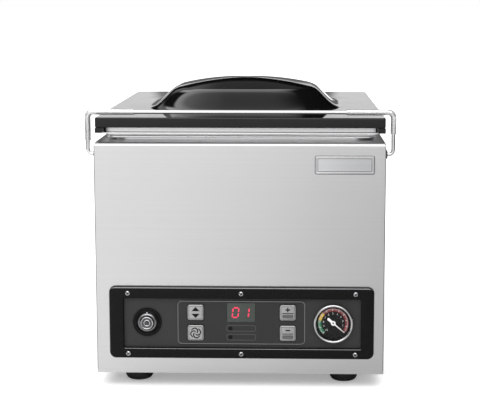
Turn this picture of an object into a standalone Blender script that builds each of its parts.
"""A table-top vacuum chamber sealer, as separate pieces in metres with +Z up.

The origin is on the floor under the middle of the steel body. The front faces -Y, and +X
is on the right of someone who stands in front of it.
"""

import math

import bmesh
import bpy
from mathutils import Matrix, Vector

MM = 0.001
GAP = 0.3 * MM  # clearance between neighbouring pieces
MERGE = 0.01 * MM

# Body: a folded steel case on four feet.
BODY_W = 330 * MM
BODY_D = 450 * MM
BODY_LOW = 16.2 * MM
BODY_TOP = 283.6 * MM
SHEET = 1.5 * MM
FOLD_R = 4.5 * MM  # front and back folds of the deck
EDGE_R = 2 * MM  # edges of the two sides
HALF_W = BODY_W / 2
FRONT = -BODY_D / 2
BACK = BODY_D / 2
FOOT_R = 16.5 * MM
FOOT_INSET = Vector((44.5 * MM, 35 * MM))  # foot centre from the body's side and front

# Vacuum chamber: a drawn tub whose rolled rim stands just above the deck.
TUB_Y = -17 * MM
TUB_HALF = Vector((148 * MM, 171.5 * MM))
TUB_CORNER = 18 * MM
RIM_CORNER = 9 * MM
TUB_FLOOR = 228 * MM
TUB_WALL = 1.2 * MM
RIM_LOW = 285.7 * MM
RIM_TOP = 288.3 * MM
RIM_REACH = 7 * MM

# Lid: smoked plate with a blown dome, steel under-frame and rubber seal.
LID_LOW = 299.2 * MM
LID_TOP = 310.8 * MM
LID_FRONT = FRONT + 11.4 * MM
LID_BACK = 167 * MM
LID_CORNER = 2.6 * MM
DOME_HALF = Vector((121.6 * MM, 135.8 * MM))
DOME_POWER = 3.2  # of its plan curve: 2 is an ellipse, and more is squarer
DOME_WALL_RISE = 24.2 * MM
DOME_WALL_SHARE = 0.313  # of the way in from the dome's foot to its middle
DOME_CROWN_RISE = 10.4 * MM
DOME_CROWN_START = 0.292
DOME_SHARES = (0, 0.045, 0.09, 0.135, 0.18, 0.225, 0.27, 0.315, 0.40, 0.52, 0.67, 0.84, 0.97)
DOME_SKIN = 9 * MM
FRAME_LOW = RIM_TOP + 2 * MM
FRAME_HALF = Vector((159.9 * MM, 179 * MM))
FRAME_CORNER = 10 * MM
FRAME_WIDTH = 16.4 * MM

# Hinge behind the lid.
HINGE = Vector((0, 188 * MM, 296 * MM))
SHAFT_R = 4 * MM
KNUCKLE_R = 8 * MM
ARM_X = 95 * MM
BLOCK_X = 118 * MM

# Bail: the polished rod that swings over the lid's front edge.
BAIL = Vector((0, FRONT + 20 * MM, 268.6 * MM))
BAIL_ROD_R = 2.25 * MM
BAIL_LEG_X = 174.3 * MM
BAIL_BAR_Z = 316.6 * MM
SLEEVE_R = 3.3 * MM
SLEEVE_LOW = {"left": 284 * MM, "right": 292 * MM}

# Seal bar at the front of the chamber, on two lift cylinders.
SEAL_Y = -173 * MM
SEAL_TOP = 279 * MM
SEAL_HALF = 130 * MM
LIFT_X = 92 * MM

# Control panel on the front.
PANEL = Vector((1.85 * MM, 0, 76.6 * MM))
PANEL_SIZE = Vector((303.1 * MM, 84.6 * MM))
PANEL_PROUD = 4.3 * MM
WINDOW = Vector((2.9 * MM, 0, 75.8 * MM))
WINDOW_SIZE = Vector((271.6 * MM, 58 * MM))
OVERLAY = Vector((1.65 * MM, 0, 76.35 * MM))
OVERLAY_SIZE = Vector((146.9 * MM, 51.5 * MM))
OVERLAY_PROUD = 0.9 * MM
KEY_SIZE = Vector((18.4 * MM, 18 * MM))
KEY_PROUD = 2.9 * MM
KEYS = {
    "key_select": (-50.6 * MM, 88.6 * MM),
    "key_cycle": (-50.6 * MM, 64.5 * MM),
    "key_plus": (54.9 * MM, 88.6 * MM),
    "key_minus": (54.9 * MM, 64.5 * MM),
}
DISPLAY = Vector((1.55 * MM, 0, 88.3 * MM))
DISPLAY_SIZE = Vector((32.4 * MM, 22.3 * MM))
POWER = Vector((-106.2 * MM, FRONT, 76.5 * MM))
POWER_BARREL_R = 10.8 * MM
GAUGE = Vector((106.8 * MM, FRONT, 77 * MM))
GAUGE_R = 22.9 * MM
GAUGE_CASE_R = 19.8 * MM
NEEDLE_REST = math.radians(-41)
BADGE = Vector((118.5 * MM, 0, 259 * MM))
BADGE_SIZE = Vector((67.4 * MM, 21.4 * MM))

# Back, and the pieces inside the body.
REAR_OPENING = (138 * MM, 45 * MM, 250 * MM)  # half width, low edge and high edge
REAR_THICK = 1.2 * MM
INLET = (96 * MM, 62 * MM)
BASE_THICK = 2 * MM
INSIDE_FLOOR = BODY_LOW + BASE_THICK + GAP
PUMP_Y = 70 * MM
PUMP_HEIGHT = 122 * MM

FACING = {
    "Z": Matrix.Identity(3),
    "-Y": Matrix(((1, 0, 0), (0, 0, -1), (0, 1, 0))),
    "X": Matrix(((0, 0, 1), (1, 0, 0), (0, 1, 0))),
}

# Colour, roughness and metallic value of each finish.
FINISHES = {
    "brushed steel": ((0.60, 0.60, 0.61), 0.34, 1.0),
    "polished steel": ((0.78, 0.78, 0.79), 0.12, 1.0),
    "chrome": ((0.85, 0.85, 0.86), 0.06, 1.0),
    "aluminium": ((0.70, 0.71, 0.72), 0.30, 1.0),
    "brass": ((0.72, 0.53, 0.25), 0.30, 1.0),
    "deck": ((0.16, 0.16, 0.17), 0.40, 1.0),
    "smoked acrylic": ((0.015, 0.015, 0.017), 0.06, 0.0),
    "black plastic": ((0.020, 0.020, 0.021), 0.38, 0.0),
    "panel film": ((0.040, 0.040, 0.042), 0.50, 0.0),
    "key metal": ((0.55, 0.55, 0.54), 0.40, 0.8),
    "display": ((0.12, 0.16, 0.13), 0.25, 0.0),
    "rubber": ((0.025, 0.025, 0.025), 0.75, 0.0),
    "silicone": ((0.80, 0.80, 0.78), 0.45, 0.0),
    "clear glass": ((0.90, 0.93, 0.93), 0.03, 0.0),
    "white plastic": ((0.82, 0.82, 0.80), 0.45, 0.0),
    "needle white": ((0.90, 0.90, 0.88), 0.40, 0.0),
    "dial black": ((0.012, 0.012, 0.014), 0.45, 0.0),
    "motor grey": ((0.10, 0.11, 0.12), 0.45, 0.3),
    "circuit board": ((0.03, 0.16, 0.07), 0.45, 0.0),
}


# ---------------------------------------------------------------- helpers


def clear_scene():
    for obj in list(bpy.data.objects):
        bpy.data.objects.remove(obj)


def collection(name):
    made = bpy.data.collections.new(name)
    bpy.context.scene.collection.children.link(made)
    return made


def add_object(name, data):
    obj = bpy.data.objects.new(name, data)
    PIECES.objects.link(obj)
    return obj


def finish(obj, finish_name):
    """Gives the object a material of its own in one of the finishes."""
    colour, roughness, metallic = FINISHES[finish_name]
    material = bpy.data.materials.new(obj.name)
    material.use_nodes = True
    shader = material.node_tree.nodes["Principled BSDF"]
    shader.inputs["Base Color"].default_value = (*colour, 1)
    shader.inputs["Roughness"].default_value = roughness
    shader.inputs["Metallic"].default_value = metallic
    obj.data.materials.append(material)
    return obj


def smooth(obj, degrees=35):
    obj.data.shade_smooth()
    obj.data.set_sharp_from_angle(angle=math.radians(degrees))
    return obj


def bevelled(obj, width, segments=2):
    modifier = obj.modifiers.new("rounded_edges", "BEVEL")
    modifier.width = width
    modifier.segments = segments
    modifier.limit_method = "ANGLE"
    return obj


def box(name, low, high, bevel=0.0, segments=2):
    """A box between two corners, its origin at its middle."""
    low = Vector(low)
    high = Vector(high)
    mesh = bpy.data.meshes.new(name)
    bm = bmesh.new()
    bmesh.ops.create_cube(bm, size=1)
    bmesh.ops.scale(bm, verts=bm.verts, vec=high - low)
    bm.to_mesh(mesh)
    bm.free()
    obj = add_object(name, mesh)
    obj.location = (low + high) / 2
    return bevelled(obj, bevel, segments) if bevel else obj


def rod(name, start, end, radius, segments=24):
    """A straight round rod between two points."""
    start = Vector(start)
    end = Vector(end)
    mesh = bpy.data.meshes.new(name)
    bm = bmesh.new()
    length = (end - start).length
    bmesh.ops.create_cone(
        bm, cap_ends=True, segments=segments, radius1=radius, radius2=radius, depth=length
    )
    bm.to_mesh(mesh)
    bm.free()
    obj = add_object(name, mesh)
    obj.location = (start + end) / 2
    obj.rotation_euler = (end - start).to_track_quat("Z", "Y").to_euler()
    return smooth(obj)


def turned(name, profile, location, facing="Z", steps=24, ring=False):
    """A turned piece. The profile is (radius, height) pairs down its outer side."""
    mesh = bpy.data.meshes.new(name)
    count = len(profile)
    last = count if ring else count - 1
    edges = [(i, (i + 1) % count) for i in range(last)]
    mesh.from_pydata([(r, 0, h) for r, h in profile], edges, [])
    obj = add_object(name, mesh)
    obj.location = location
    obj.rotation_euler = FACING[facing].to_euler()
    screw = obj.modifiers.new("turning", "SCREW")
    screw.steps = steps
    screw.render_steps = steps
    screw.use_merge_vertices = True
    screw.merge_threshold = MERGE
    screw.use_smooth_shade = True
    return obj


def arc(centre, radius, start, end, steps):
    """Points along an arc in a plane, angles in degrees."""
    angles = [math.radians(start + (end - start) * i / steps) for i in range(steps + 1)]
    return [
        (centre[0] + radius * math.cos(a), centre[1] + radius * math.sin(a)) for a in angles
    ]


def rounded_rect(size, radius, centre=(0, 0), steps=5):
    """A rectangle's outline with round corners, counter-clockwise from the lower right."""
    half = Vector(size) / 2 - Vector((radius, radius))
    corners = ((1, -1, -90), (1, 1, 0), (-1, 1, 90), (-1, -1, 180))
    outline = []
    for side_x, side_y, start in corners:
        middle = (centre[0] + side_x * half.x, centre[1] + side_y * half.y)
        outline += arc(middle, radius, start, start + 90, steps)
    return outline


def circle(radius, centre=(0, 0), steps=32):
    return arc(centre, radius, 0, 360, steps)[:-1]


def as_mesh(obj):
    """Turns a curve object into a closed mesh object of the same name and place."""
    bpy.context.view_layer.update()
    graph = bpy.context.evaluated_depsgraph_get()
    mesh = bpy.data.meshes.new_from_object(obj.evaluated_get(graph))
    bm = bmesh.new()
    bm.from_mesh(mesh)
    bmesh.ops.remove_doubles(bm, verts=bm.verts, dist=MERGE)
    bm.to_mesh(mesh)
    bm.free()
    place = obj.matrix_world.copy()
    name = obj.name
    curve = obj.data
    bpy.data.objects.remove(obj)
    bpy.data.curves.remove(curve)
    made = add_object(name, mesh)
    made.matrix_world = place
    return made


def slab(name, outlines, low, high, facing="Z", bevel=0.0, segments=2):
    """A flat piece between two heights along an axis, its first outline the outer one."""
    curve = bpy.data.curves.new(name, "CURVE")
    curve.dimensions = "2D"
    curve.fill_mode = "BOTH"
    curve.extrude = (high - low) / 2
    for outline in outlines:
        spline = curve.splines.new("POLY")
        spline.points.add(len(outline) - 1)
        for point, (x, y) in zip(spline.points, outline):
            point.co = (x, y, 0, 1)
        spline.use_cyclic_u = True
    obj = add_object(name, curve)
    turn = FACING[facing]
    obj.rotation_euler = turn.to_euler()
    obj.location = turn @ Vector((0, 0, (low + high) / 2))
    made = as_mesh(obj)
    return bevelled(made, bevel, segments) if bevel else made


def front_slab(name, outlines, back, face, **options):
    """A flat piece on the front, its back and face measured outwards from the body."""
    return slab(name, outlines, back - FRONT, face - FRONT, facing="-Y", **options)


def loft(name, rings):
    """A closed skin through rings with the same number of points, capped at both ends."""
    mesh = bpy.data.meshes.new(name)
    bm = bmesh.new()
    loops = [[bm.verts.new(point) for point in ring] for ring in rings]
    count = len(loops[0])
    for below, above in zip(loops, loops[1:]):
        for i in range(count):
            j = (i + 1) % count
            bm.faces.new((below[i], below[j], above[j], above[i]))
    bm.faces.new(loops[0][::-1])
    bm.faces.new(loops[-1])
    bmesh.ops.recalc_face_normals(bm, faces=bm.faces)
    bm.to_mesh(mesh)
    bm.free()
    return smooth(add_object(name, mesh))


def plan_ring(half, corner, centre_y, z, steps=6):
    """A level rounded rectangle as a ring of points for a loft."""
    outline = rounded_rect(Vector(half) * 2, corner, (0, centre_y), steps)
    return [(x, y, z) for x, y in outline]


def tube(name, points, radius, sides=12):
    """A round wire or tube along a path of straight runs and computed bends."""
    curve = bpy.data.curves.new(name, "CURVE")
    curve.dimensions = "3D"
    curve.bevel_depth = radius
    curve.bevel_resolution = (sides - 4) // 2
    curve.use_fill_caps = True
    spline = curve.splines.new("POLY")
    spline.points.add(len(points) - 1)
    for point, place in zip(spline.points, points):
        point.co = (*place, 1)
    spline.use_smooth = True
    return add_object(name, curve)


def combine(obj, other, operation):
    """Cuts the other shape from the object, or joins it on, and puts it with the cutters."""
    modifier = obj.modifiers.new(other.name, "BOOLEAN")
    modifier.operation = operation
    modifier.object = other
    modifier.solver = "EXACT"
    PIECES.objects.unlink(other)
    CUTTERS.objects.link(other)
    other.hide_render = True
    other.display_type = "WIRE"


def cut(obj, *others):
    for other in others:
        combine(obj, other, "DIFFERENCE")


def joint_empty(name, place):
    empty = bpy.data.objects.new(name, None)
    empty.location = place
    empty.empty_display_size = 20 * MM
    PIECES.objects.link(empty)
    return empty


def hang(empty, *objects):
    """Parents objects to a joint's empty without moving them."""
    for obj in objects:
        obj.parent = empty
        obj.matrix_parent_inverse = Matrix.Translation(-empty.location)


def both_sides():
    return (("left", -1), ("right", 1))


# ---------------------------------------------------------------- body


def side_vents():
    """One long cutter for each vertical slot, through both sides near the back."""
    slot_width = 4 * MM
    slot_height = 46 * MM
    pitch = 11 * MM
    first_y = 92 * MM
    slots = []
    for i in range(9):
        outline = rounded_rect(
            (slot_width, slot_height), slot_width * 0.49, (first_y + i * pitch, 150 * MM), 2
        )
        slots.append(slab(f"side_vent_{i}", [outline], -HALF_W * 1.1, HALF_W * 1.1, "X"))
    return slots


def folded_box(name, half_x, half_y, low, top, fold, edge):
    """A box with its front and back top edges folded round, and softer side edges."""
    mesh = bpy.data.meshes.new(name)
    bm = bmesh.new()
    bmesh.ops.create_cube(bm, size=1)
    bmesh.ops.scale(bm, verts=bm.verts, vec=(half_x * 2, half_y * 2, top - low))

    def soften(edges, radius, segments):
        bmesh.ops.bevel(
            bm, geom=edges, offset=radius, segments=segments, profile=0.5, affect="EDGES"
        )

    deck_folds = [
        e
        for e in bm.edges
        if all(v.co.z > 0 for v in e.verts) and e.verts[0].co.y == e.verts[1].co.y
    ]
    soften(deck_folds, fold, 4)
    side_edges = [
        e
        for e in bm.edges
        if abs(e.verts[0].co.x + e.verts[1].co.x) > half_x * 1.99
        and max(v.co.z for v in e.verts) > low - top
        and not all(v.co.z < (low - top) * 0.49 for v in e.verts)
    ]
    soften(side_edges, edge, 2)
    bm.to_mesh(mesh)
    bm.free()
    obj = add_object(name, mesh)
    obj.location = (0, 0, (low + top) / 2)
    return obj


def make_body_shell():
    shell = folded_box("body_shell", HALF_W, BACK, BODY_LOW, BODY_TOP, FOLD_R, EDGE_R)
    hollow = folded_box(
        "shell_hollow",
        HALF_W - SHEET,
        BACK - SHEET,
        0,
        BODY_TOP - SHEET,
        FOLD_R - SHEET,
        EDGE_R - SHEET,
    )
    mouth = rounded_rect((TUB_HALF + Vector((GAP, GAP)) * 2) * 2, TUB_CORNER, (0, TUB_Y), 6)
    deck_opening = slab("deck_opening", [mouth], BODY_TOP - 10 * MM, BODY_TOP + 10 * MM)
    panel_opening = front_slab(
        "panel_opening",
        [rounded_rect(WINDOW_SIZE + Vector((12, 12)) * MM, 4 * MM, (WINDOW.x, WINDOW.z))],
        -10 * MM,
        10 * MM,
    )
    half_x, low, high = REAR_OPENING
    back_opening = box(
        "back_opening", (-half_x, BACK - 10 * MM, low), (half_x, BACK + 10 * MM, high)
    )
    bail_hole = rod(
        "bail_hole",
        (-HALF_W * 1.1, BAIL.y, BAIL.z),
        (HALF_W * 1.1, BAIL.y, BAIL.z),
        BAIL_ROD_R + 2 * GAP,
    )
    cut(shell, hollow, deck_opening, panel_opening, back_opening, bail_hole, *side_vents())
    finish(shell, "brushed steel")


def make_base_plate():
    inset = SHEET + GAP
    plate = box(
        "base_plate",
        (-HALF_W + inset, FRONT + inset, BODY_LOW),
        (HALF_W - inset, BACK - inset, BODY_LOW + BASE_THICK),
    )
    finish(plate, "brushed steel")


def make_feet():
    height = BODY_LOW - GAP
    profile = [
        (0, height),
        (FOOT_R, height),
        (FOOT_R, 7 * MM),
        (FOOT_R - 0.7 * MM, 3.2 * MM),
        (FOOT_R - 2 * MM, 1 * MM),
        (FOOT_R - 4 * MM, 0),
        (0, 0),
    ]
    for row, side_y in (("front", -1), ("back", 1)):
        for side, side_x in both_sides():
            place = (
                side_x * (HALF_W - FOOT_INSET.x),
                side_y * (BACK - FOOT_INSET.y),
                0,
            )
            finish(turned(f"foot_{row}_{side}", profile, place, steps=20), "rubber")


def make_rear_panel():
    """Service cover on the back, with two columns of air slots and a hole for the inlet."""
    outline = rounded_rect((300 * MM, 232 * MM), 6 * MM, (0, 148 * MM), 3)
    inlet_hole = rounded_rect((28.6 * MM, 20.6 * MM), 2 * MM, INLET, 2)
    slots = []
    for column in (-62 * MM, 62 * MM):
        for row in range(8):
            centre = (column, (108 + 15 * row) * MM)
            slots.append(rounded_rect((84 * MM, 5 * MM), 2.4 * MM, centre, 2))
    panel = slab(
        "rear_panel",
        [outline, inlet_hole, *slots],
        -BACK - GAP - REAR_THICK,
        -BACK - GAP,
        facing="-Y",
    )
    finish(panel, "brushed steel")


def make_power_inlet():
    """Appliance inlet: a flange on the rear panel and a body behind it with three blades."""
    face = BACK + 2 * GAP + REAR_THICK
    flange_outline = rounded_rect((50 * MM, 27 * MM), 5 * MM, INLET, 4)
    flange = slab("power_inlet", [flange_outline], -face - 3 * MM, -face, facing="-Y")
    housing = slab(
        "inlet_housing",
        [rounded_rect((28 * MM, 20 * MM), 2 * MM, INLET, 2)],
        -face - 1 * MM,
        -face + 20 * MM,
        facing="-Y",
    )
    combine(flange, housing, "UNION")
    socket = slab(
        "inlet_socket",
        [rounded_rect((24 * MM, 16 * MM), 3 * MM, INLET, 3)],
        -face - 8 * MM,
        -face + 14 * MM,
        facing="-Y",
    )
    cut(flange, socket)
    for i in (-1, 0, 1):
        x = INLET[0] + i * 7 * MM
        blade = box(
            f"inlet_blade_{i + 1}",
            (x - 1 * MM, face - 16 * MM, INLET[1] - 2 * MM),
            (x + 1 * MM, face - 2 * MM, INLET[1] + 2 * MM),
        )
        combine(flange, blade, "UNION")
    finish(flange, "black plastic")


# ---------------------------------------------------------------- chamber


def make_chamber_tub():
    """Inset is measured inwards from the tub's outer wall; outwards is negative."""

    def ring(inset, z):
        half = TUB_HALF - Vector((inset, inset))
        corner = TUB_CORNER - inset if inset >= 0 else RIM_CORNER
        return plan_ring(half, corner, TUB_Y, z)

    def fillet(radius, inset, low):
        """Rings round the bottom corner, from the floor up to the wall."""
        steps = 4
        turns = [math.radians(90 * i / steps) for i in range(steps + 1)]
        return [
            (inset + radius * (1 - math.sin(t)), low + radius * (1 - math.cos(t)))
            for t in turns
        ]

    inner_r = 6 * MM
    bead_r = (RIM_TOP - RIM_LOW) / 2
    bead_z = (RIM_TOP + RIM_LOW) / 2
    outer = fillet(inner_r + TUB_WALL, 0, TUB_FLOOR - TUB_WALL)
    outer.append((0, RIM_LOW))
    turns = [math.radians(-90 + 45 * i) for i in range(5)]
    bead = [
        (-(RIM_REACH - bead_r) - bead_r * math.cos(t), bead_z + bead_r * math.sin(t))
        for t in turns
    ]
    lip = [(0.2 * MM, RIM_TOP), (TUB_WALL, RIM_TOP - 1 * MM)]
    inner = fillet(inner_r, TUB_WALL, TUB_FLOOR)[::-1]
    rings = [ring(inset, z) for inset, z in outer + bead + lip + inner]
    finish(loft("chamber_tub", rings), "polished steel")


def make_filler_plate():
    outline = rounded_rect((256 * MM, 296 * MM), 12 * MM, (0, 0), 4)
    low = TUB_FLOOR + 2 * GAP
    plate = slab("filler_plate", [outline], low, low + 10 * MM, bevel=1 * MM, segments=1)
    finish(plate, "white plastic")


def make_seal_bar():
    """Grooved bar on two plungers, with the heating strip on top."""
    half_width = 8 * MM
    low = SEAL_TOP - 17 * MM
    groove = 1.5 * MM
    outline = [
        (SEAL_Y - half_width, low),
        (SEAL_Y + half_width, low),
        (SEAL_Y + half_width, SEAL_TOP - 9 * MM),
        (SEAL_Y + half_width - groove, SEAL_TOP - 8 * MM),
        (SEAL_Y + half_width - groove, SEAL_TOP - 5 * MM),
        (SEAL_Y + half_width, SEAL_TOP - 4 * MM),
        (SEAL_Y + half_width - 1 * MM, SEAL_TOP),
        (SEAL_Y - half_width + 1 * MM, SEAL_TOP),
        (SEAL_Y - half_width, SEAL_TOP - 4 * MM),
        (SEAL_Y - half_width + groove, SEAL_TOP - 5 * MM),
        (SEAL_Y - half_width + groove, SEAL_TOP - 8 * MM),
        (SEAL_Y - half_width, SEAL_TOP - 9 * MM),
    ]
    bar = slab("seal_bar", [outline], -SEAL_HALF, SEAL_HALF, facing="X")
    plungers = []
    cylinders = []
    bore = 4 * MM
    for side, sign in both_sides():
        x = sign * LIFT_X
        plunger = rod(f"plunger_{side}", (x, SEAL_Y, low - 22 * MM), (x, SEAL_Y, low + 3 * MM), bore)
        combine(bar, plunger, "UNION")
        plungers.append(plunger)
        top = low - 6 * MM
        profile = [
            (bore + GAP, top),
            (8 * MM, top),
            (9 * MM, top - 1 * MM),
            (9 * MM, TUB_FLOOR + 2 * GAP),
            (bore + GAP, TUB_FLOOR + 2 * GAP),
        ]
        cylinder = turned(
            f"lift_cylinder_{side}", profile, (x, SEAL_Y, 0), steps=16, ring=True
        )
        cylinders.append(finish(cylinder, "aluminium"))
    finish(bar, "aluminium")
    strip = box(
        "heating_strip",
        (-SEAL_HALF + 4 * MM, SEAL_Y - 2.5 * MM, SEAL_TOP + GAP),
        (SEAL_HALF - 4 * MM, SEAL_Y + 2.5 * MM, SEAL_TOP + 0.9 * MM),
    )
    finish(strip, "brass")
    hang(joint_empty("seal_bar_lift", (0, SEAL_Y, low)), bar, strip)


# ---------------------------------------------------------------- lid


def dome_height(share):
    """Height above the plate, a share of the way in from the dome's foot to its middle."""
    t = min(share / DOME_WALL_SHARE, 1)
    u = max(share - DOME_CROWN_START, 0) / (1 - DOME_CROWN_START)
    wall = DOME_WALL_RISE * (t * t * (3 - 2 * t)) ** 1.1
    return wall + DOME_CROWN_RISE * (1 - (1 - u) ** 2)


def make_lid_plate():
    """One skin: down the inside of the dome, out to the rim, up it and over the dome."""
    centre_y = (LID_FRONT + LID_BACK) / 2
    lid_half = Vector((HALF_W, (LID_BACK - LID_FRONT) / 2))
    steps = 8
    turns = [math.radians(90 * (i + 0.5) / (steps + 1) - 90) for i in range(4 * (steps + 1))]

    def dome_ring(share, z, skin=0.0):
        half = (DOME_HALF - Vector((skin, skin))) * (1 - share)
        points = []
        for turn in turns:
            x, y = math.cos(turn), math.sin(turn)
            x = math.copysign(abs(x) ** (2 / DOME_POWER), x)
            y = math.copysign(abs(y) ** (2 / DOME_POWER), y)
            points.append((half.x * x, half.y * y + centre_y, z))
        return points

    inner_scale = (LID_TOP - DOME_SKIN - LID_LOW) / dome_height(DOME_SHARES[-1]) + 1
    rings = [
        dome_ring(share, LID_LOW + inner_scale * dome_height(share), skin=4 * MM)
        for share in reversed(DOME_SHARES)
    ]
    edge = 2 * MM
    rim = [(0, LID_LOW), (0, LID_TOP - edge), (0.6 * MM, LID_TOP - 0.6 * MM), (edge, LID_TOP)]
    for inset, z in rim:
        half = lid_half - Vector((inset, inset))
        rings.append(plan_ring(half, LID_CORNER - inset / 2, centre_y, z, steps))
    rings += [dome_ring(share, LID_TOP + dome_height(share)) for share in DOME_SHARES]
    return finish(loft("lid_plate", rings), "smoked acrylic")


def make_lid_frame():
    outer = rounded_rect(FRAME_HALF * 2, FRAME_CORNER, (0, TUB_Y), 5)
    inner_half = FRAME_HALF - Vector((FRAME_WIDTH, FRAME_WIDTH))
    inner = rounded_rect(inner_half * 2, 12 * MM, (0, TUB_Y), 4)
    frame = slab("lid_frame", [outer, inner], FRAME_LOW, LID_LOW - GAP, bevel=1.2 * MM)
    return finish(frame, "brushed steel")


def make_lid_gasket():
    outer_half = TUB_HALF + Vector((6 * MM, 6 * MM))
    inner_half = TUB_HALF - Vector((0.6 * MM, 0.6 * MM))
    outer = rounded_rect(outer_half * 2, RIM_CORNER, (0, TUB_Y), 6)
    inner = rounded_rect(inner_half * 2, TUB_CORNER - 0.6 * MM, (0, TUB_Y), 6)
    gasket = slab("lid_gasket", [outer, inner], RIM_TOP + GAP, FRAME_LOW - GAP)
    return finish(gasket, "rubber")


def make_pressure_bar():
    """Silicone bar under the plate, right over the seal bar."""
    bar = box(
        "pressure_bar",
        (-SEAL_HALF, SEAL_Y - 6.2 * MM, RIM_TOP - 1.3 * MM),
        (SEAL_HALF, SEAL_Y + 6.2 * MM, LID_LOW - GAP),
        bevel=1.5 * MM,
    )
    return finish(bar, "silicone")


def make_lid_trim(side, sign):
    inner_x = FRAME_HALF.x + 2 * GAP
    xs = sorted((sign * inner_x, sign * HALF_W))
    trim = box(
        f"lid_trim_{side}",
        (xs[0], LID_FRONT + GAP, LID_LOW - 6.1 * MM),
        (xs[1], LID_BACK - 8 * MM, LID_LOW - GAP),
    )
    return finish(trim, "black plastic")


def make_hinge_arm(side, sign):
    """Flat arm from the lid's frame to a knuckle round the hinge shaft."""
    frame_back = TUB_Y + FRAME_HALF.y + GAP
    low = FRAME_LOW + 0.6 * MM
    high = LID_LOW - GAP
    low_turn = math.degrees(math.asin((low - HINGE.z) / KNUCKLE_R))
    high_turn = math.degrees(math.asin((high - HINGE.z) / KNUCKLE_R))
    knuckle = arc((HINGE.y, HINGE.z), KNUCKLE_R, -180 - low_turn, 180 - high_turn, 16)
    outline = [(frame_back, low), *knuckle, (frame_back, high)]
    bore = circle(SHAFT_R + GAP, (HINGE.y, HINGE.z), 24)
    half_width = 9 * MM
    arm = slab(
        f"hinge_arm_{side}",
        [outline, bore],
        sign * ARM_X - half_width,
        sign * ARM_X + half_width,
        facing="X",
    )
    return finish(arm, "polished steel")


def make_hinge_shaft():
    reach = BLOCK_X + 10 * MM
    shaft = rod("hinge_shaft", (-reach, HINGE.y, HINGE.z), (reach, HINGE.y, HINGE.z), SHAFT_R)
    return finish(shaft, "polished steel")


def make_hinge_block(side, sign):
    """Bearing block on the deck, round-topped over the shaft."""
    low = BODY_TOP + GAP
    foot = 14 * MM
    head_r = KNUCKLE_R + 1 * MM
    outline = [
        (HINGE.y - foot, low),
        (HINGE.y + foot, low),
        (HINGE.y + foot, low + 3.5 * MM),
        (HINGE.y + head_r, low + 5 * MM),
        *arc((HINGE.y, HINGE.z), head_r, 0, 180, 12),
        (HINGE.y - head_r, low + 5 * MM),
        (HINGE.y - foot, low + 3.5 * MM),
    ]
    bore = circle(SHAFT_R + GAP, (HINGE.y, HINGE.z), 24)
    half_width = 6 * MM
    block = slab(
        f"hinge_block_{side}",
        [outline, bore],
        sign * BLOCK_X - half_width,
        sign * BLOCK_X + half_width,
        facing="X",
    )
    return finish(block, "black plastic")


def make_hinge_spring(side, sign):
    """Torsion spring wound round the shaft, one leg running down to the deck."""
    coil_r = 6.6 * MM
    wire_r = 1.1 * MM
    turns = 4
    steps = 10
    pitch = 2.8 * MM
    start_x = sign * 62 * MM
    points = []
    for i in range(turns * steps + 1):
        angle = 2 * math.pi * i / steps
        x = start_x + sign * pitch * i / steps
        y = HINGE.y + coil_r * math.cos(angle)
        z = HINGE.z + coil_r * math.sin(angle)
        points.append((x, y, z))
    foot = (start_x, HINGE.y + coil_r, BODY_TOP + GAP + wire_r)
    toe = (start_x, HINGE.y + coil_r + 8 * MM, BODY_TOP + GAP + wire_r)
    spring = tube(f"hinge_spring_{side}", [toe, foot, *points], wire_r, sides=6)
    return finish(spring, "polished steel")


def make_lid():
    pieces = [
        make_lid_plate(),
        make_lid_frame(),
        make_lid_gasket(),
        make_pressure_bar(),
        make_hinge_shaft(),
    ]
    for side, sign in both_sides():
        pieces.append(make_lid_trim(side, sign))
        pieces.append(make_hinge_arm(side, sign))
        make_hinge_block(side, sign)
        make_hinge_spring(side, sign)
    hang(joint_empty("lid_hinge", HINGE), *pieces)


# ---------------------------------------------------------------- bail


def bail_corner():
    """The bail's right side in its plane: end stub, lower bend, leg, corner and bar."""
    low_r = 4.6 * MM
    top_r = 6 * MM
    bar_z = BAIL_BAR_Z
    low_bend = arc((BAIL_LEG_X - low_r, BAIL.z + low_r), low_r, -90, 0, 5)
    top_bend = arc((BAIL_LEG_X - top_r, bar_z - top_r), top_r, 0, 90, 6)
    return low_bend, top_bend


def in_bail_plane(points, sign=1):
    return [(sign * x, BAIL.y, z) for x, z in points]


def make_bail():
    low_bend, top_bend = bail_corner()
    stub = (HALF_W - 7 * MM, BAIL.z)
    half_path = [stub, *low_bend, *top_bend]
    path = in_bail_plane(half_path) + in_bail_plane(half_path[::-1], -1)
    bail = finish(tube("bail_rod", path, BAIL_ROD_R, sides=10), "chrome")
    pieces = [bail]
    reach = 121 * MM
    past = 5 * MM
    for side, sign in both_sides():
        low = SLEEVE_LOW[side]
        ends = [(BAIL_LEG_X, low), *top_bend, (reach, BAIL_BAR_Z)]
        bore_ends = [(BAIL_LEG_X, low - past), *top_bend, (reach - past, BAIL_BAR_Z)]
        skin = tube(f"bail_sleeve_{side}", in_bail_plane(ends, sign), SLEEVE_R)
        bore = tube(f"sleeve_bore_{side}", in_bail_plane(bore_ends, sign), BAIL_ROD_R + GAP)
        sleeve = as_mesh(skin)
        cut(sleeve, as_mesh(bore))
        pieces.append(finish(smooth(sleeve), "silicone"))
        profile = [
            (BAIL_ROD_R + GAP, 2.6 * MM),
            (4.4 * MM, 2.6 * MM),
            (5.2 * MM, 1.8 * MM),
            (5.2 * MM, GAP),
            (BAIL_ROD_R + GAP, GAP),
        ]
        bushing = turned(
            f"bail_bushing_{side}",
            profile,
            (sign * HALF_W, BAIL.y, BAIL.z),
            steps=20,
            ring=True,
        )
        bushing.rotation_euler = (0, sign * math.pi / 2, 0)
        finish(bushing, "black plastic")
    hang(joint_empty("bail_swing", BAIL), *pieces)


# ---------------------------------------------------------------- control panel


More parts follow.
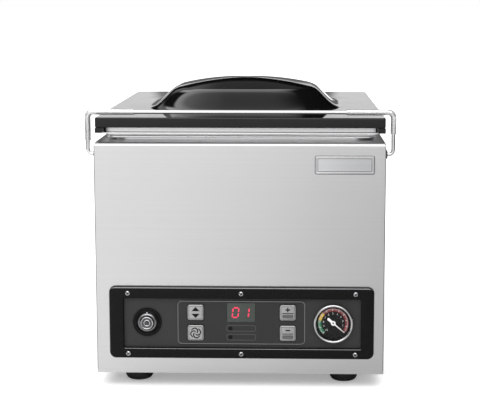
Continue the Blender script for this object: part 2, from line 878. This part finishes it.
def make_panel_bezel():
    outline = rounded_rect(PANEL_SIZE, 7.5 * MM, (PANEL.x, PANEL.z), 5)
    window = rounded_rect(WINDOW_SIZE, 2 * MM, (WINDOW.x, WINDOW.z), 3)
    bezel = front_slab(
        "panel_bezel", [outline, window], GAP, PANEL_PROUD, bevel=0.9 * MM
    )
    finish(bezel, "black plastic")


def key_holes():
    clearance = Vector((0.8 * MM, 0.8 * MM))
    return [rounded_rect(KEY_SIZE + clearance, 3 * MM, place, 2) for place in KEYS.values()]


def make_control_plate():
    """Steel plate behind the bezel's window that carries every control."""
    outline = rounded_rect(WINDOW_SIZE + Vector((11, 11)) * MM, 3 * MM, (WINDOW.x, WINDOW.z))
    power_hole = circle(POWER_BARREL_R + 2 * GAP, (POWER.x, POWER.z), 24)
    gauge_hole = circle(GAUGE_CASE_R + 2 * GAP, (GAUGE.x, GAUGE.z), 32)
    plate = front_slab(
        "control_plate",
        [outline, power_hole, gauge_hole, *key_holes()],
        -2 * MM,
        0,
    )
    finish(plate, "panel film")


def make_keypad_overlay():
    outline = rounded_rect(OVERLAY_SIZE, 5.3 * MM, (OVERLAY.x, OVERLAY.z), 4)
    clearance = Vector((GAP, GAP)) * 2
    display_hole = rounded_rect(DISPLAY_SIZE + clearance, 1 * MM, (DISPLAY.x, DISPLAY.z), 2)
    overlay = front_slab(
        "keypad_overlay",
        [outline, display_hole, *key_holes()],
        GAP,
        OVERLAY_PROUD,
    )
    finish(overlay, "panel film")


def make_display():
    outline = rounded_rect(DISPLAY_SIZE, 1 * MM, (DISPLAY.x, DISPLAY.z), 2)
    window = front_slab("display_window", [outline], GAP, 1.4 * MM)
    finish(window, "display")


def make_keys():
    for name, place in KEYS.items():
        outline = rounded_rect(KEY_SIZE, 2.6 * MM, place, 2)
        key = front_slab(name, [outline], -5 * MM, KEY_PROUD, bevel=0.8 * MM)
        finish(key, "key metal")


def make_power_switch():
    """Collar, threaded metal ring and the button that slides in it."""
    collar_profile = [
        (12.1 * MM, 3.4 * MM),
        (13.2 * MM, 3.4 * MM),
        (14.2 * MM, 2.2 * MM),
        (15.8 * MM, 2.2 * MM),
        (16.5 * MM, 1.5 * MM),
        (16.5 * MM, GAP),
        (12.1 * MM, GAP),
    ]
    finish(
        turned("power_collar", collar_profile, POWER, facing="-Y", ring=True), "black plastic"
    )
    bore = 7.9 * MM
    ring_profile = [
        (bore, 4.2 * MM),
        (8.5 * MM, 4.8 * MM),
        (10.6 * MM, 4.8 * MM),
        (11.7 * MM, 3.6 * MM),
        (11.7 * MM, GAP),
        (POWER_BARREL_R, GAP),
        (POWER_BARREL_R, -22 * MM),
        (bore, -22 * MM),
    ]
    finish(turned("power_ring", ring_profile, POWER, facing="-Y", ring=True), "chrome")
    button_profile = [
        (0, 6.2 * MM),
        (3.4 * MM, 6.2 * MM),
        (4.2 * MM, 6.7 * MM),
        (6.6 * MM, 6.4 * MM),
        (7.5 * MM, 5.6 * MM),
        (7.5 * MM, -14 * MM),
        (0, -14 * MM),
    ]
    finish(turned("power_button", button_profile, POWER, facing="-Y"), "polished steel")


def make_gauge():
    bezel_profile = [
        (18.3 * MM, 5.8 * MM),
        (19.2 * MM, 6.9 * MM),
        (20.6 * MM, 7.8 * MM),
        (21.7 * MM, 7.7 * MM),
        (22.6 * MM, 6.8 * MM),
        (GAUGE_R, 5.6 * MM),
        (GAUGE_R, GAP),
        (GAUGE_CASE_R + 2 * GAP, GAP),
        (GAUGE_CASE_R + 2 * GAP, 5.2 * MM),
        (18.3 * MM, 5.2 * MM),
    ]
    finish(turned("gauge_bezel", bezel_profile, GAUGE, facing="-Y", ring=True), "chrome")
    case_profile = [
        (0, 1.6 * MM),
        (GAUGE_CASE_R, 1.6 * MM),
        (GAUGE_CASE_R, -22 * MM),
        (GAUGE_CASE_R - 2 * MM, -24 * MM),
        (5 * MM, -24 * MM),
        (5 * MM, -38 * MM),
        (0, -38 * MM),
    ]
    finish(turned("gauge_case", case_profile, GAUGE, facing="-Y"), "polished steel")
    disc = circle(19.4 * MM, (GAUGE.x, GAUGE.z), 32)
    dial = front_slab("gauge_dial", [disc], 1.9 * MM, 2.4 * MM)
    finish(dial, "dial black")
    glass = front_slab("gauge_glass", [disc], 4 * MM, 4.9 * MM)
    finish(glass, "clear glass")


def make_gauge_needle():
    """Pointer along its own +X axis, with a hub and a broad tail, then turned to rest."""
    tip = 15.6 * MM
    tail = 8.6 * MM
    tail_half = 1.2 * MM
    outline = [(tip, -0.25 * MM), (tip, 0.25 * MM)]
    outline += arc((0, 0), 2.7 * MM, 14, 154, 8)
    outline += arc((-tail, 0), tail_half, 90, 270, 6)
    outline += arc((0, 0), 2.7 * MM, 206, 346, 8)
    needle = slab("gauge_needle", [outline], -0.3 * MM, 0.3 * MM)
    needle.location = GAUGE + Vector((0, -3.2 * MM, 0))
    turn = Matrix.Rotation(-NEEDLE_REST, 4, "Y") @ FACING["-Y"].to_4x4()
    needle.rotation_euler = turn.to_euler()
    finish(needle, "needle white")


def make_panel_screws():
    profile = [
        (0, 1.5 * MM),
        (1.5 * MM, 1.3 * MM),
        (2.4 * MM, 0.7 * MM),
        (2.75 * MM, 0),
        (0, 0),
    ]
    face = FRONT - PANEL_PROUD - GAP
    for row, z in (("top", 111.1 * MM), ("low", 40.4 * MM)):
        for column, x in (("left", -128 * MM), ("middle", 1.6 * MM), ("right", 132 * MM)):
            name = f"panel_screw_{row}_{column}"
            finish(turned(name, profile, (x, face, z), "-Y", steps=12), "chrome")


def make_badge():
    outline = rounded_rect(BADGE_SIZE, 2 * MM, (BADGE.x, BADGE.z), 3)
    plate = front_slab(
        "badge_plate", [outline], GAP, 1.6 * MM, bevel=0.4 * MM, segments=1
    )
    finish(plate, "aluminium")


# ---------------------------------------------------------------- inside the body


def make_pump():
    """Vacuum pump: a motor lying along X and the pump block on its right end."""
    motor_r = 48 * MM
    motor_length = 130 * MM
    chamfer = 4 * MM
    end_r = 30 * MM
    profile = [
        (0, motor_length),
        (end_r, motor_length),
        (motor_r - chamfer, motor_length - 2 * chamfer),
        (motor_r, motor_length - 3 * chamfer),
        (motor_r, 3 * chamfer),
        (motor_r - chamfer, 2 * chamfer),
        (end_r, 0),
        (0, 0),
    ]
    place = (-140 * MM, PUMP_Y, INSIDE_FLOOR + 58 * MM)
    finish(turned("pump_motor", profile, place, "X", steps=24), "motor grey")
    half_depth = 46 * MM
    head = box(
        "pump_head",
        (-9 * MM, PUMP_Y - half_depth, INSIDE_FLOOR),
        (62 * MM, PUMP_Y + half_depth, INSIDE_FLOOR + PUMP_HEIGHT),
        bevel=5 * MM,
    )
    finish(head, "aluminium")


def make_vacuum_hose():
    """Hose from the top of the pump block, up and over to the tub's underside."""
    top = TUB_FLOOR - TUB_WALL - GAP
    low = INSIDE_FLOOR + PUMP_HEIGHT + GAP
    bend = 22 * MM
    level_run = 14 * MM
    middle = (top + low) / 2
    x = 26 * MM
    y = PUMP_Y - 16 * MM
    up = y + 2 * bend + level_run
    first = arc((y + bend, middle - bend), bend, 180, 90, 5)
    second = arc((up - bend, middle + bend), bend, 270, 360, 5)
    path = [(y, low), *first, *second, (up, top)]
    hose = tube("vacuum_hose", [(x, py, pz) for py, pz in path], 7 * MM, sides=8)
    finish(hose, "rubber")


def make_electrics():
    transformer = box(
        "transformer",
        (72 * MM, 20 * MM, INSIDE_FLOOR),
        (142 * MM, 84 * MM, INSIDE_FLOOR + 62 * MM),
        bevel=4 * MM,
    )
    finish(transformer, "motor grey")
    board_front = FRONT + 10 * MM
    board = box(
        "control_board",
        (-74 * MM, board_front, 40 * MM),
        (78 * MM, board_front + 1.6 * MM, 112 * MM),
    )
    finish(board, "circuit board")


# ---------------------------------------------------------------- assembly

clear_scene()
PIECES = collection("vacuum_chamber_sealer")
CUTTERS = collection("cutters")
CUTTERS.hide_render = True

make_body_shell()
make_base_plate()
make_feet()
make_rear_panel()
make_power_inlet()
make_chamber_tub()
make_filler_plate()
make_seal_bar()
make_lid()
make_bail()
make_panel_bezel()
make_control_plate()
make_keypad_overlay()
make_display()
make_keys()
make_power_switch()
make_gauge()
make_gauge_needle()
make_panel_screws()
make_badge()
make_pump()
make_vacuum_hose()
make_electrics()
